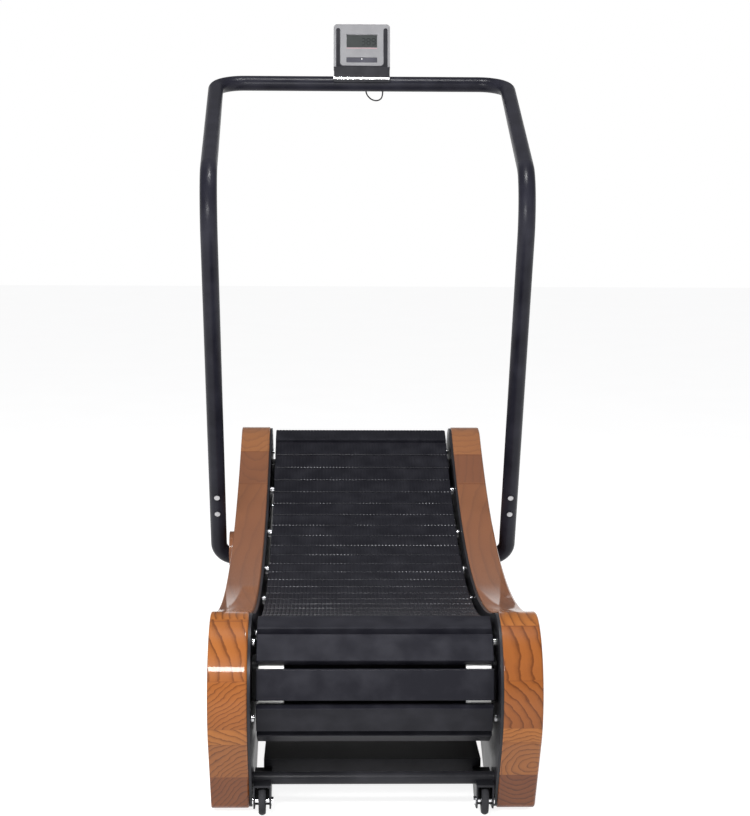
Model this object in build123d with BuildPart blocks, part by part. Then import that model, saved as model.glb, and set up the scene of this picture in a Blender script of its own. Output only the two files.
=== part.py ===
from build123d import *
import math
import os

# Curved manual treadmill: wood side panels, a slat belt on two plain rollers, a bent tube handrail.
# Frame: +X to the user's right, +Y forward to the console, +Z up, origin under the centre of the box.

# ---------------------------------------------------------------- driving dimensions (millimetres)
LENGTH = 1753.9                 # wood panels, rear to front
PANEL_OUTER = 304.0             # outer face of a wood panel from the centre plane
PANEL_THICK = 72.0
PLATE_THICK = 5.0               # steel side plate inside each panel
SLAT_LENGTH = 434.0
SLAT_COUNT = 60
SLAT_START = 0.3                # centre of the first slat, in pitches past the rear roller's top
SLAT_TOP = 56.5                 # width of a slat's tread face
SLAT_FOOT = 57.0                # width of a slat where it meets the edge belts
SLAT_LOW = 3.2                  # underside of a slat above the belt's neutral line
SLAT_RISE = 17.5                # tread face above the belt's neutral line
SLAT_EDGE = 1.3                 # chamfer along a slat's long edges
BELT_HALF = 3.0                 # half the thickness of an edge belt
BELT_WIDTH = 46.0
ROLLER_RADIUS = 96.3            # neutral radius on the end rollers, ten slats to a turn
RUN_RADIUS = 1980.0             # radius of the tread surface
RETURN_RADIUS = 3700.0          # radius of the hanging return run
REAR_AXIS = (150.0 - LENGTH / 2, 253.0)
FRONT_AXIS = (1627.0 - LENGTH / 2, 406.0)
REAR_LOBE = (140.0 - LENGTH / 2, 239.0)
REAR_LOBE_RADIUS = 140.0
FRONT_LOBE_RADIUS = 126.0
PANEL_FOOT = 6.0                # underside of the wood above the floor
ARCH_TOP = 112.0                # crown of the arch under the panels
SHAFT_RADIUS = 12.5
TUBE_RADIUS = 19.0              # handrail tube
TUBE_WALL = 2.0
UPRIGHT_X = 345.0
CORNER_X = 372.0
ELBOW = (812.0 - LENGTH / 2, 1165.0)
CROSSBAR = (1710.0 - LENGTH / 2, 1408.0)
RAIL_FOOT = (1250.0 - LENGTH / 2, 268.0)
WHEEL_RADIUS = 27.0
WHEEL_X = 208.0
CABLE_RADIUS = 1.75
CABLE_HOLE = 4.0                # bore of the rail under the crossbar, for the cable's grommet
CABLE_HOLE_X = 54.0
CONSOLE_WIDTH = 144.0
CONSOLE_HEIGHT = 122.0
CONSOLE_TILT = 12.0             # the face leans back by this many degrees

PANEL_INNER = PANEL_OUTER - PANEL_THICK
PLATE_INNER = PANEL_INNER - PLATE_THICK
RUNNING_GAP = 0.4               # between a turning surface and the belt it carries

os.makedirs("parts", exist_ok=True)


# ---------------------------------------------------------------- small helpers
def save(part, label):
    """Label a finished piece and write its file."""
    part.label = label
    export_step(part, "parts/" + label + ".step")


def toward(start, end, distance):
    """The point at a distance from start, on the way to end."""
    span = math.dist(start, end)
    return (
        start[0] + (end[0] - start[0]) * distance / span,
        start[1] + (end[1] - start[1]) * distance / span,
    )


def polar(centre, radius, degrees):
    """A point on a circle in the side plane, with angles from +Y towards +Z."""
    angle = math.radians(degrees)
    return (centre[0] + radius * math.cos(angle), centre[1] + radius * math.sin(angle))


def heading(start, end):
    """Angle in degrees from start to end in the side plane."""
    return math.degrees(math.atan2(end[1] - start[1], end[0] - start[0]))


def arc_centre(reach):
    """The centre above the treadmill at the same reach from both roller axes."""
    middle = ((REAR_AXIS[0] + FRONT_AXIS[0]) / 2, (REAR_AXIS[1] + FRONT_AXIS[1]) / 2)
    half = math.dist(REAR_AXIS, FRONT_AXIS) / 2
    rise = math.sqrt(reach**2 - half**2)
    slope = math.radians(heading(REAR_AXIS, FRONT_AXIS))
    return (middle[0] - rise * math.sin(slope), middle[1] + rise * math.cos(slope))


def arc_points(centre, radius, first, last):
    """Start, middle and end of an arc between two angles."""
    return (
        polar(centre, radius, first),
        polar(centre, radius, (first + last) / 2),
        polar(centre, radius, last),
    )


# ---------------------------------------------------------------- the slat belt's path
RUN_NEUTRAL = RUN_RADIUS + SLAT_RISE
RUN_CENTRE = arc_centre(RUN_NEUTRAL + ROLLER_RADIUS)
RETURN_CENTRE = arc_centre(RETURN_RADIUS - ROLLER_RADIUS)

# Angles where the belt joins and leaves each roller.
REAR_TOP = heading(REAR_AXIS, RUN_CENTRE)
FRONT_TOP = heading(FRONT_AXIS, RUN_CENTRE)
REAR_LOW = heading(RETURN_CENTRE, REAR_AXIS)
FRONT_LOW = heading(RETURN_CENTRE, FRONT_AXIS)


def belt_arcs(offset):
    """The four arcs of the belt loop, moved outward by offset, each as three points."""
    return (
        arc_points(RUN_CENTRE, RUN_NEUTRAL - offset, REAR_TOP - 180, FRONT_TOP - 180),
        arc_points(FRONT_AXIS, ROLLER_RADIUS + offset, FRONT_TOP, FRONT_LOW),
        arc_points(RETURN_CENTRE, RETURN_RADIUS + offset, FRONT_LOW, REAR_LOW),
        arc_points(REAR_AXIS, ROLLER_RADIUS + offset, REAR_LOW, REAR_TOP - 360),
    )


def belt_stretches():
    """Centre, radius, first angle, last angle and outward side of each stretch of the loop."""
    return (
        (RUN_CENTRE, RUN_NEUTRAL, REAR_TOP - 180, FRONT_TOP - 180, -1),
        (FRONT_AXIS, ROLLER_RADIUS, FRONT_TOP, FRONT_LOW, 1),
        (RETURN_CENTRE, RETURN_RADIUS, FRONT_LOW, REAR_LOW, 1),
        (REAR_AXIS, ROLLER_RADIUS, REAR_LOW, REAR_TOP - 360, 1),
    )


def stretch_length(stretch):
    """Length of one stretch of the belt along its neutral line."""
    return abs(math.radians(stretch[3] - stretch[2])) * stretch[1]


BELT_LENGTH = sum(stretch_length(stretch) for stretch in belt_stretches())
SLAT_PITCH = BELT_LENGTH / SLAT_COUNT


def belt_plane(travel, x_offset):
    """Plane at a distance along the belt: its x runs along the belt, its y points outward."""
    for number, stretch in enumerate(belt_stretches()):
        length = stretch_length(stretch)
        if travel < length or number == 3:
            break
        travel -= length
    centre, radius, first, last, outward = stretch
    angle = first + (last - first) * travel / length
    point = polar(centre, radius, angle)
    out = math.radians(angle)
    normal = (outward * math.cos(out), outward * math.sin(out))
    return Plane(
        origin=(x_offset, point[0], point[1]),
        x_dir=(0, normal[1], -normal[0]),
        z_dir=(1, 0, 0),
    )


# ---------------------------------------------------------------- side panels and plates
PANEL_RADIUS = math.dist(REAR_LOBE, RUN_CENTRE) - REAR_LOBE_RADIUS
FRONT_LOBE = toward(RUN_CENTRE, toward(FRONT_AXIS, RUN_CENTRE, 3), PANEL_RADIUS + FRONT_LOBE_RADIUS)
REAR_LEAN = 214.5               # where the rear lobe turns into the sloping heel
FRONT_LEAN = -20.0              # where the front lobe turns into the sloping toe
ARCH_REAR = 400.0 - LENGTH / 2
ARCH_FRONT = 1390.0 - LENGTH / 2


def drop_to(start, slope, height):
    """Where a line from start, at a slope in degrees, comes down to a height."""
    return (start[0] + (height - start[1]) / math.tan(math.radians(slope)), height)


def side_outline(inset):
    """Outline of a side panel: two lobes, the hollow top run, a heel, an arch and a toe."""
    rear_top = heading(REAR_LOBE, RUN_CENTRE)
    front_top = heading(FRONT_LOBE, RUN_CENTRE)
    top = arc_points(RUN_CENTRE, PANEL_RADIUS + inset, rear_top - 180, front_top - 180)
    front = arc_points(FRONT_LOBE, FRONT_LOBE_RADIUS - inset, front_top, FRONT_LEAN)
    rear = arc_points(REAR_LOBE, REAR_LOBE_RADIUS - inset, REAR_LEAN, rear_top)
    base = PANEL_FOOT + inset
    toe = drop_to(front[2], FRONT_LEAN - 90, base)
    heel = drop_to(rear[0], REAR_LEAN + 90, base)
    crown = ((ARCH_REAR + ARCH_FRONT) / 2, ARCH_TOP + inset)
    arch_rear = (ARCH_REAR - inset, base)
    arch_front = (ARCH_FRONT + inset, base)
    ThreePointArc(*top)
    ThreePointArc(*front)
    Line(front[2], toe)
    Line(toe, arch_front)
    ThreePointArc(arch_front, crown, arch_rear)
    Line(arch_rear, heel)
    Line(heel, rear[0])
    ThreePointArc(*rear)


FOOT_ROUND = 22.0               # corners where the panel's feet meet the floor
EDGE_ROUND = 5.0                # edge of a panel's right face
EDGE_ROUND_LEFT = 2.0
BOLT_HOLE = 4.2
BOLT_HEAD = (7.0, 4.0)          # radius and height
BOLT_SHANK = (4.0, 48.0)        # radius and length
PANEL_BOLT_SPOTS = [polar(REAR_AXIS, 72, 100), polar(REAR_AXIS, 82, 230), polar(REAR_AXIS, 82, 320)]
PANEL_BOLT_SPOTS += [polar(FRONT_AXIS, 82, 40), polar(FRONT_AXIS, 82, 250), polar(FRONT_AXIS, 82, 330)]
PANEL_BOLT_SPOTS += [polar(RUN_CENTRE, RUN_RADIUS + 170, angle) for angle in (-93, -87, -81, -75)]


def yz_spots(spots, x_offset):
    """Locations of side-plane spots at one distance from the centre plane, facing +X."""
    return [Plane(origin=(x_offset, y, z), x_dir=(0, 1, 0), z_dir=(1, 0, 0)) for y, z in spots]


def build_panel(side):
    """Laminated wood side panel with its bolt holes and the bore for the handrail."""
    start = PANEL_INNER if side > 0 else -PANEL_OUTER
    with BuildPart() as panel:
        with BuildSketch(Plane.YZ.offset(start)):
            with BuildLine():
                side_outline(0)
            make_face()
        extrude(amount=PANEL_THICK)
        corners = panel.edges().filter_by(Axis.X).group_by(Axis.Z)[0]
        fillet(corners, FOOT_ROUND)
        fillet(panel.faces().sort_by(Axis.X)[-1].edges(), EDGE_ROUND)
        fillet(panel.faces().sort_by(Axis.X)[0].edges(), EDGE_ROUND_LEFT)
        with Locations(*yz_spots([RAIL_FOOT], start)):
            Cylinder(TUBE_RADIUS + 1, 3 * PANEL_THICK, mode=Mode.SUBTRACT)
        inner = side * PANEL_INNER
        with Locations(*yz_spots(PANEL_BOLT_SPOTS, inner)):
            Cylinder(BOLT_HOLE, 100, mode=Mode.SUBTRACT)
    return panel.part


def build_plate(side):
    """Steel side plate with bearing bores and bolt holes."""
    start = PLATE_INNER if side > 0 else -PANEL_INNER
    with BuildPart() as plate:
        with BuildSketch(Plane.YZ.offset(start)):
            with BuildLine():
                side_outline(2.5)
            make_face()
        extrude(amount=PLATE_THICK)
        fillet(plate.edges().filter_by(Axis.X).group_by(Axis.Z)[0], 18)
        with Locations(*yz_spots([REAR_AXIS, FRONT_AXIS], start)):
            Cylinder(SHAFT_RADIUS + 2, 3 * PLATE_THICK, mode=Mode.SUBTRACT)
        with Locations(*yz_spots(PANEL_BOLT_SPOTS, start)):
            Cylinder(BOLT_HOLE, 3 * PLATE_THICK, mode=Mode.SUBTRACT)
    return plate.part


def build_panel_bolts():
    """Domed bolts from inside each plate into the wood."""
    with BuildPart() as bolts:
        for side in (-1, 1):
            inner = side * PLATE_INNER
            for y, z in PANEL_BOLT_SPOTS:
                seat = Plane(origin=(inner, y, z), x_dir=(0, 1, 0), z_dir=(-side, 0, 0))
                with Locations(seat):
                    Cylinder(*BOLT_HEAD, align=(Align.CENTER, Align.CENTER, Align.MIN))
                    Cylinder(*BOLT_SHANK, align=(Align.CENTER, Align.CENTER, Align.MAX))
    return bolts.part


# ---------------------------------------------------------------- cross members
def build_cross_tube(spot, radius, wall):
    """Round tube between the two side plates."""
    with BuildPart() as tube:
        with BuildSketch(Plane.YZ.offset(-PLATE_INNER)):
            with Locations(spot):
                Circle(radius)
                Circle(radius - wall, mode=Mode.SUBTRACT)
        extrude(amount=2 * PLATE_INNER)
    return tube.part


REAR_TUBE = (145.0 - LENGTH / 2, 62.0)
REAR_TUBE_RADIUS = 12.0
MID_TUBE = (900.0 - LENGTH / 2, 222.0)
FRONT_TUBE = (1610.0 - LENGTH / 2, 120.0)
BAR_SIZE = (170.0, 26.0)        # depth of the shelf and height of the upright leg
BAR_SPOT = (219.0 + BAR_SIZE[0] / 2 - LENGTH / 2, 63.0)
BAR_WALL = 4.0
BAR_HALF = 208.0


def build_bar():
    """Deep angle bar: an upright leg that ties the wheel brackets, and a shelf under the belt."""
    with BuildPart() as bar:
        with BuildSketch(Plane.YZ.offset(-BAR_HALF)):
            with Locations(BAR_SPOT):
                Rectangle(*BAR_SIZE)
            with Locations((BAR_SPOT[0] + BAR_WALL, BAR_SPOT[1] - BAR_WALL)):
                Rectangle(*BAR_SIZE, mode=Mode.SUBTRACT)
        extrude(amount=2 * BAR_HALF)
    return bar.part


# ---------------------------------------------------------------- transport wheels
WHEEL_SPOT = (118.0 - LENGTH / 2, WHEEL_RADIUS)
WHEEL_HALF = 6.5
FORK_GAP = 13.5
FORK_WALL = 3.0
FORK_TOP = 60.0
FORK_LOW = 8.0                  # lower edge of the shield ahead of the wheel
WHEEL_PIN = 4.0


def build_bracket(side):
    """Fork bracket: two cheeks, a top and a shield, under the rear tube and behind the angle bar."""
    centre = side * WHEEL_X
    wheel_y = WHEEL_SPOT[0]
    bar_face = BAR_SPOT[0] - BAR_SIZE[0] / 2
    back = wheel_y - 16
    shield = wheel_y + WHEEL_RADIUS + 5
    with BuildPart() as bracket:
        for cheek in (-1, 1):
            inner = centre + cheek * FORK_GAP
            start = inner if cheek > 0 else inner - FORK_WALL
            with BuildSketch(Plane.YZ.offset(start)):
                with BuildLine():
                    Polyline(
                        (back, FORK_TOP),
                        (back, 26),
                        (wheel_y - 8, 13),
                        (shield, FORK_LOW),
                        (shield + FORK_WALL, FORK_LOW),
                        (bar_face, 50),
                        (bar_face, FORK_TOP),
                        close=True,
                    )
                make_face()
            extrude(amount=FORK_WALL)
        with Locations((centre, shield, FORK_LOW)):
            shield_size = (2 * FORK_GAP + 1, FORK_WALL, FORK_TOP - FORK_LOW)
            Box(*shield_size, align=(Align.CENTER, Align.MIN, Align.MIN))
        with Locations((centre, back, FORK_TOP)):
            Box(2 * FORK_GAP + 1, bar_face - back, 4, align=(Align.CENTER, Align.MIN, Align.MAX))
        with Locations(*yz_spots([WHEEL_SPOT], centre)):
            Cylinder(WHEEL_PIN + 0.05, 60, mode=Mode.SUBTRACT)
        with Locations(*yz_spots([REAR_TUBE], centre)):
            Cylinder(REAR_TUBE_RADIUS, 60, mode=Mode.SUBTRACT)
    return bracket.part


def build_wheel(side):
    """Rubber-tyred wheel with a crowned tread, bored for its pin."""
    bore = WHEEL_PIN + 0.05
    shoulder = WHEEL_RADIUS - 3
    with BuildPart() as wheel:
        with BuildSketch(Plane.XY):
            with BuildLine():
                Line((bore, -WHEEL_HALF), (shoulder, -WHEEL_HALF))
                ThreePointArc((shoulder, -WHEEL_HALF), (WHEEL_RADIUS, 0), (shoulder, WHEEL_HALF))
                Line((shoulder, WHEEL_HALF), (bore, WHEEL_HALF))
                Line((bore, WHEEL_HALF), (bore, -WHEEL_HALF))
            make_face()
        revolve(axis=Axis.Y)
    seat = Plane(origin=(side * WHEEL_X, WHEEL_SPOT[0], WHEEL_SPOT[1]), x_dir=(0, 1, 0), z_dir=(0, 0, 1))
    return seat.from_local_coords(wheel.part)


def build_wheel_bolts():
    """Pins through the wheel forks with domed heads, and the bracket's tie screws."""
    with BuildPart() as bolts:
        for side in (-1, 1):
            centre = side * WHEEL_X
            reach = FORK_GAP + FORK_WALL
            with Locations(*yz_spots([WHEEL_SPOT], centre)):
                Cylinder(WHEEL_PIN, 2 * reach)
            for face, head in ((-side, 4.5), (side, 2.2)):
                seat = Plane(
                    origin=(centre + face * reach, WHEEL_SPOT[0], WHEEL_SPOT[1]),
                    x_dir=(0, 1, 0),
                    z_dir=(face, 0, 0),
                )
                with Locations(seat):
                    Cylinder(7, head, align=(Align.CENTER, Align.CENTER, Align.MIN))
    return bolts.part


def build_foot(side):
    """Rubber foot under the toe of a panel."""
    with BuildPart() as foot:
        with BuildSketch(Plane.XY):
            with Locations((side * (PANEL_INNER + PANEL_THICK / 2), 1540.0 - LENGTH / 2)):
                RectangleRounded(54, 90, 12)
        extrude(amount=PANEL_FOOT)
        fillet(foot.edges().group_by(Axis.Z)[0], 2)
    return foot.part


# ---------------------------------------------------------------- rollers
DRUM_HALF = 166.0
DRUM_RADIUS = 75.0
PULLEY_RADIUS = ROLLER_RADIUS - BELT_HALF - RUNNING_GAP
PULLEY_WIDTH = 47.0
BLOCK_THICK = 12.0
BLOCK_SIDE = 78.0
BLOCK_ROUND = 18.0
RIM_THICK = 9.0
HUB_RADIUS = 24.0
WEB_THICK = 10.0
WEB_WINDOWS = (53.0, 6, 17.0)   # distance from the axis, count and radius of the windows


def build_drum(axis):
    """Drum between the two pulleys, bored for its shaft."""
    with BuildPart() as drum:
        with BuildSketch(Plane.YZ.offset(-DRUM_HALF)):
            with Locations(axis):
                Circle(DRUM_RADIUS)
                Circle(DRUM_RADIUS - 4, mode=Mode.SUBTRACT)
        extrude(amount=2 * DRUM_HALF)
        for end in (-DRUM_HALF, DRUM_HALF - 6):
            with BuildSketch(Plane.YZ.offset(end)):
                with Locations(axis):
                    Circle(DRUM_RADIUS - 3)
                    Circle(SHAFT_RADIUS, mode=Mode.SUBTRACT)
            extrude(amount=6)
    return drum.part


def build_pulleys(axis):
    """Two belt pulleys with a hub, a web with round windows and a flat rim."""
    with BuildPart() as pulleys:
        for side in (-1, 1):
            start = DRUM_HALF if side > 0 else -DRUM_HALF - PULLEY_WIDTH
            with BuildSketch(Plane.YZ.offset(start)):
                with Locations(axis):
                    Circle(PULLEY_RADIUS)
                    Circle(PULLEY_RADIUS - RIM_THICK, mode=Mode.SUBTRACT)
                    Circle(HUB_RADIUS)
                    Circle(SHAFT_RADIUS, mode=Mode.SUBTRACT)
            extrude(amount=PULLEY_WIDTH)
            with BuildSketch(Plane.YZ.offset(start + (PULLEY_WIDTH - WEB_THICK) / 2)):
                with Locations(axis):
                    Circle(PULLEY_RADIUS - RIM_THICK + 1)
                    Circle(HUB_RADIUS - 1, mode=Mode.SUBTRACT)
                    with PolarLocations(WEB_WINDOWS[0], WEB_WINDOWS[1]):
                        Circle(WEB_WINDOWS[2], mode=Mode.SUBTRACT)
            extrude(amount=WEB_THICK)
    return pulleys.part


def build_shaft(axis):
    """Roller shaft, reaching into both side plates."""
    with BuildPart() as shaft:
        with BuildSketch(Plane.YZ.offset(-PLATE_INNER - 2)):
            with Locations(axis):
                Circle(SHAFT_RADIUS)
        extrude(amount=2 * PLATE_INNER + 4)
        chamfer(shaft.edges().filter_by(GeomType.CIRCLE), 1)
    return shaft.part


def build_blocks(axis):
    """Flange bearing blocks on the inside of both plates."""
    with BuildPart() as blocks:
        for side in (-1, 1):
            start = PLATE_INNER - BLOCK_THICK if side > 0 else -PLATE_INNER
            with BuildSketch(Plane.YZ.offset(start)):
                with Locations(axis):
                    RectangleRounded(BLOCK_SIDE, BLOCK_SIDE, BLOCK_ROUND)
                    Circle(SHAFT_RADIUS + 0.05, mode=Mode.SUBTRACT)
            extrude(amount=BLOCK_THICK)
    return blocks.part


# ---------------------------------------------------------------- belt and slats
def build_edge_belt(side):
    """Closed edge belt that carries the slats' ends."""
    outer_edge = SLAT_LENGTH / 2 - 4
    start = outer_edge - BELT_WIDTH if side > 0 else -outer_edge
    with BuildPart() as belt:
        with BuildSketch(Plane.YZ.offset(start)):
            with BuildLine():
                for arc in belt_arcs(BELT_HALF):
                    ThreePointArc(*arc)
            make_face()
            with BuildLine():
                for arc in belt_arcs(-BELT_HALF):
                    ThreePointArc(*arc)
            make_face(mode=Mode.SUBTRACT)
        extrude(amount=BELT_WIDTH)
    return belt.part


def build_slats(first, last):
    """A group of slats, numbered forward along the belt from the rear roller's top."""
    with BuildPart() as slats:
        for number in range(first, last):
            plane = belt_plane((number + SLAT_START) * SLAT_PITCH, -SLAT_LENGTH / 2)
            with BuildSketch(plane):
                with BuildLine():
                    Polyline(
                        (-SLAT_FOOT / 2, SLAT_LOW),
                        (SLAT_FOOT / 2, SLAT_LOW),
                        (SLAT_TOP / 2, SLAT_RISE - SLAT_EDGE),
                        (SLAT_TOP / 2 - SLAT_EDGE, SLAT_RISE),
                        (SLAT_EDGE - SLAT_TOP / 2, SLAT_RISE),
                        (-SLAT_TOP / 2, SLAT_RISE - SLAT_EDGE),
                        close=True,
                    )
                make_face()
            extrude(amount=SLAT_LENGTH)
    return slats.part


# ---------------------------------------------------------------- support rollers under the tread
SUPPORT_RADIUS = 16.0
SUPPORT_HALF = 7.0
SUPPORT_X = 190.0
SUPPORT_PIN = 5.0
SUPPORT_COUNT = 6


def support_spot(number):
    """Axis of a support roller, spaced evenly under the tread run."""
    reach = RUN_NEUTRAL + BELT_HALF + RUNNING_GAP + SUPPORT_RADIUS
    share = (number + 0.85) / (SUPPORT_COUNT + 0.7)
    return polar(RUN_CENTRE, reach, REAR_TOP - 180 + (FRONT_TOP - REAR_TOP) * share)


def build_support_roller(side, number):
    """Ball-bearing roller that carries one edge belt."""
    start = SUPPORT_X - SUPPORT_HALF if side > 0 else -SUPPORT_X - SUPPORT_HALF
    with BuildPart() as roller:
        with BuildSketch(Plane.YZ.offset(start)):
            with Locations(support_spot(number)):
                Circle(SUPPORT_RADIUS)
                Circle(SUPPORT_PIN + 0.05, mode=Mode.SUBTRACT)
        extrude(amount=2 * SUPPORT_HALF)
    return roller.part


def build_support_pins(side):
    """Stub pins that hold the support rollers out from the side plate."""
    with BuildPart() as pins:
        for number in range(SUPPORT_COUNT):
            y, z = support_spot(number)
            base = Plane(origin=(side * PLATE_INNER, y, z), x_dir=(0, 1, 0), z_dir=(-side, 0, 0))
            with Locations(base):
                Cylinder(9, 26, align=(Align.CENTER, Align.CENTER, Align.MIN))
            tip = Plane(origin=(side * (SUPPORT_X - 11), y, z), x_dir=(0, 1, 0), z_dir=(side, 0, 0))
            with Locations(tip):
                Cylinder(SUPPORT_PIN, 26, align=(Align.CENTER, Align.CENTER, Align.MIN))
    return pins.part


# ---------------------------------------------------------------- handrail
def slide_up(share):
    """A point on an upright's axis, from its foot (0) to its elbow (1), in the side plane."""
    return (
        RAIL_FOOT[0] + (ELBOW[0] - RAIL_FOOT[0]) * share,
        RAIL_FOOT[1] + (ELBOW[1] - RAIL_FOOT[1]) * share,
    )


JOINT_SHARE = 0.094             # where the upper rail ends and the foot tube starts
SLEEVE_SHARE = 0.23             # how far the foot tube's sleeve reaches inside the rail
RAIL_FOOT_BEND = 40.0
RAIL_BOLT_SHARES = (0.141, 0.188)


def build_handrail():
    """Upper rail: one tube bent over both elbows and across the front."""
    low = slide_up(JOINT_SHARE)
    with BuildPart() as rail:
        with BuildLine() as path:
            FilletPolyline(
                (-UPRIGHT_X, low[0], low[1]),
                (-UPRIGHT_X, ELBOW[0], ELBOW[1]),
                (-CORNER_X, CROSSBAR[0], CROSSBAR[1]),
                (CORNER_X, CROSSBAR[0], CROSSBAR[1]),
                (UPRIGHT_X, ELBOW[0], ELBOW[1]),
                (UPRIGHT_X, low[0], low[1]),
                radius=[110, 70, 70, 110],
            )
        with BuildSketch(Plane(origin=path.line @ 0, z_dir=path.line % 0)):
            Circle(TUBE_RADIUS)
            Circle(TUBE_RADIUS - TUBE_WALL, mode=Mode.SUBTRACT)
        sweep(path=path.line)
        with Locations((CABLE_HOLE_X, CROSSBAR[0], CROSSBAR[1] - TUBE_RADIUS)):
            Cylinder(CABLE_HOLE, TUBE_RADIUS, mode=Mode.SUBTRACT)
        for side in (-1, 1):
            for share in RAIL_BOLT_SHARES:
                with Locations(rail_bolt_plane(side, share)):
                    Cylinder(3.2, 4 * TUBE_RADIUS, mode=Mode.SUBTRACT)
    return rail.part


def rail_bolt_plane(side, share):
    """Plane across an upright, facing back and down, where a bolt goes through."""
    y, z = slide_up(share)
    lean = math.radians(heading(RAIL_FOOT, ELBOW))
    return Plane(origin=(side * UPRIGHT_X, y, z), x_dir=(1, 0, 0), z_dir=(0, -math.sin(lean), math.cos(lean)))


def build_rail_foot(side):
    """Foot tube: runs down from the joint, turns in through the wood and meets the steel plate."""
    low = slide_up(JOINT_SHARE)
    sleeve = slide_up(SLEEVE_SHARE)
    with BuildPart() as foot:
        with BuildLine() as path:
            FilletPolyline(
                (side * UPRIGHT_X, low[0], low[1]),
                (side * UPRIGHT_X, RAIL_FOOT[0], RAIL_FOOT[1]),
                (side * PANEL_INNER, RAIL_FOOT[0], RAIL_FOOT[1]),
                radius=RAIL_FOOT_BEND,
            )
        with BuildSketch(Plane(origin=path.line @ 0, z_dir=path.line % 0)):
            Circle(TUBE_RADIUS)
            Circle(TUBE_RADIUS - TUBE_WALL, mode=Mode.SUBTRACT)
        sweep(path=path.line)
        joint = Plane(
            origin=(side * UPRIGHT_X, low[0], low[1]),
            z_dir=(0, sleeve[0] - low[0], sleeve[1] - low[1]),
        )
        with BuildSketch(joint):
            Circle(TUBE_RADIUS - TUBE_WALL)
            Circle(TUBE_RADIUS - 2 * TUBE_WALL, mode=Mode.SUBTRACT)
        extrude(amount=math.dist(low, sleeve))
        with BuildSketch(joint):
            Circle(TUBE_RADIUS - TUBE_WALL + 0.5)
            Circle(TUBE_RADIUS - 2 * TUBE_WALL, mode=Mode.SUBTRACT)
        extrude(amount=-6)
        for share in RAIL_BOLT_SHARES:
            with Locations(rail_bolt_plane(side, share)):
                Cylinder(3.2, 4 * TUBE_RADIUS, mode=Mode.SUBTRACT)
    return foot.part


def build_rail_bolts():
    """Two domed bolts through each upright, heads to the rear."""
    with BuildPart() as bolts:
        for side in (-1, 1):
            for share in RAIL_BOLT_SHARES:
                seat = rail_bolt_plane(side, share)
                with Locations(seat):
                    Cylinder(3, 2 * TUBE_RADIUS + 4)
                with Locations(seat.offset(TUBE_RADIUS)):
                    Cylinder(6.5, 4, align=(Align.CENTER, Align.CENTER, Align.MIN))
                with Locations(seat.offset(-TUBE_RADIUS)):
                    Cylinder(5.5, 4, align=(Align.CENTER, Align.CENTER, Align.MAX))
    return bolts.part


SPACER_THICK = 16.0
SPACER_RADIUS = 42.0
SPACER_LIFT = 18.0
SPACER_GAP = 6.5                # clearance round the start of the tube's bend


def build_spacer():
    """Wooden spacer disc round the left foot tube, standing higher than the tube."""
    with BuildPart() as spacer:
        with BuildSketch(Plane.YZ.offset(-PANEL_OUTER - SPACER_THICK)):
            with Locations((RAIL_FOOT[0], RAIL_FOOT[1] + SPACER_LIFT)):
                Circle(SPACER_RADIUS)
            with Locations(RAIL_FOOT):
                Circle(TUBE_RADIUS + SPACER_GAP, mode=Mode.SUBTRACT)
        extrude(amount=SPACER_THICK)
    return spacer.part


# ---------------------------------------------------------------- console
CONSOLE_DEPTH = 24.0
FACE_DEPTH = 4.0
CONSOLE_DROP = 7.0              # how far the console reaches below its pivot
PIVOT_BACK = 20.0               # pivot axis behind the middle of the console
PIVOT = (CROSSBAR[0] + 14, CROSSBAR[1] + 32)
PIVOT_RADIUS = 4.0
BOSS_HALF = 26.0
LUG_THICK = 4.0
CONSOLE_MIDDLE = CONSOLE_HEIGHT / 2 - CONSOLE_DROP
DISPLAY_SPOT = (0.0, 70.8)
DISPLAY_SIZE = (78.0, 32.5)
BUTTON_SPOT = (0.0, 22.0)
BUTTON_SIZE = (78.0, 12.4)
SADDLE_HALF = 71.0
SADDLE_DEPTH = 54.0
SADDLE_HEIGHT = 18.0
SADDLE_BACK = CROSSBAR[0] + 28
SADDLE_FRONT = SADDLE_BACK - SADDLE_DEPTH
SADDLE_LOW = CROSSBAR[1] + 4
LIP_TOP = CROSSBAR[1] + 42      # upper edge of the lip in front of the console's foot
LIP_THICK = 3.0
TRIM_HEIGHT = 5.0
TRIM_THICK = 2.0
TRIM_LOW = CROSSBAR[1] + 11


def console_plane(forward):
    """Plane of the console: x to the right, y up its face, z to the user, measured from the pivot."""
    tilt = math.radians(CONSOLE_TILT)
    plane = Plane(
        origin=(0, PIVOT[0], PIVOT[1]),
        x_dir=(1, 0, 0),
        z_dir=(0, -math.cos(tilt), math.sin(tilt)),
    )
    return plane.offset(forward)


def build_case():
    """Rear shell of the console, with its pivot boss."""
    back = PIVOT_BACK - CONSOLE_DEPTH / 2
    shell = CONSOLE_DEPTH - FACE_DEPTH
    with BuildPart() as case:
        with BuildSketch(console_plane(back)):
            with Locations((0, CONSOLE_MIDDLE)):
                RectangleRounded(CONSOLE_WIDTH, CONSOLE_HEIGHT, 9)
        extrude(amount=shell)
        fillet(case.faces().sort_by(Axis.Y)[-1].edges(), 4)
        with BuildSketch(console_plane(back + 3)):
            with Locations((0, CONSOLE_MIDDLE)):
                RectangleRounded(CONSOLE_WIDTH - 10, CONSOLE_HEIGHT - 10, 5)
        extrude(amount=shell, mode=Mode.SUBTRACT)
        with BuildSketch(console_plane(0)):
            Rectangle(2 * BOSS_HALF, 10)
        extrude(amount=back + 1)
        with BuildSketch(Plane.YZ.offset(-BOSS_HALF)):
            with Locations(PIVOT):
                Circle(7)
        extrude(amount=2 * BOSS_HALF)
        with BuildSketch(Plane.YZ.offset(-BOSS_HALF)):
            with Locations(PIVOT):
                Circle(PIVOT_RADIUS + 0.05)
        extrude(amount=2 * BOSS_HALF, mode=Mode.SUBTRACT)
    return case.part


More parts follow.
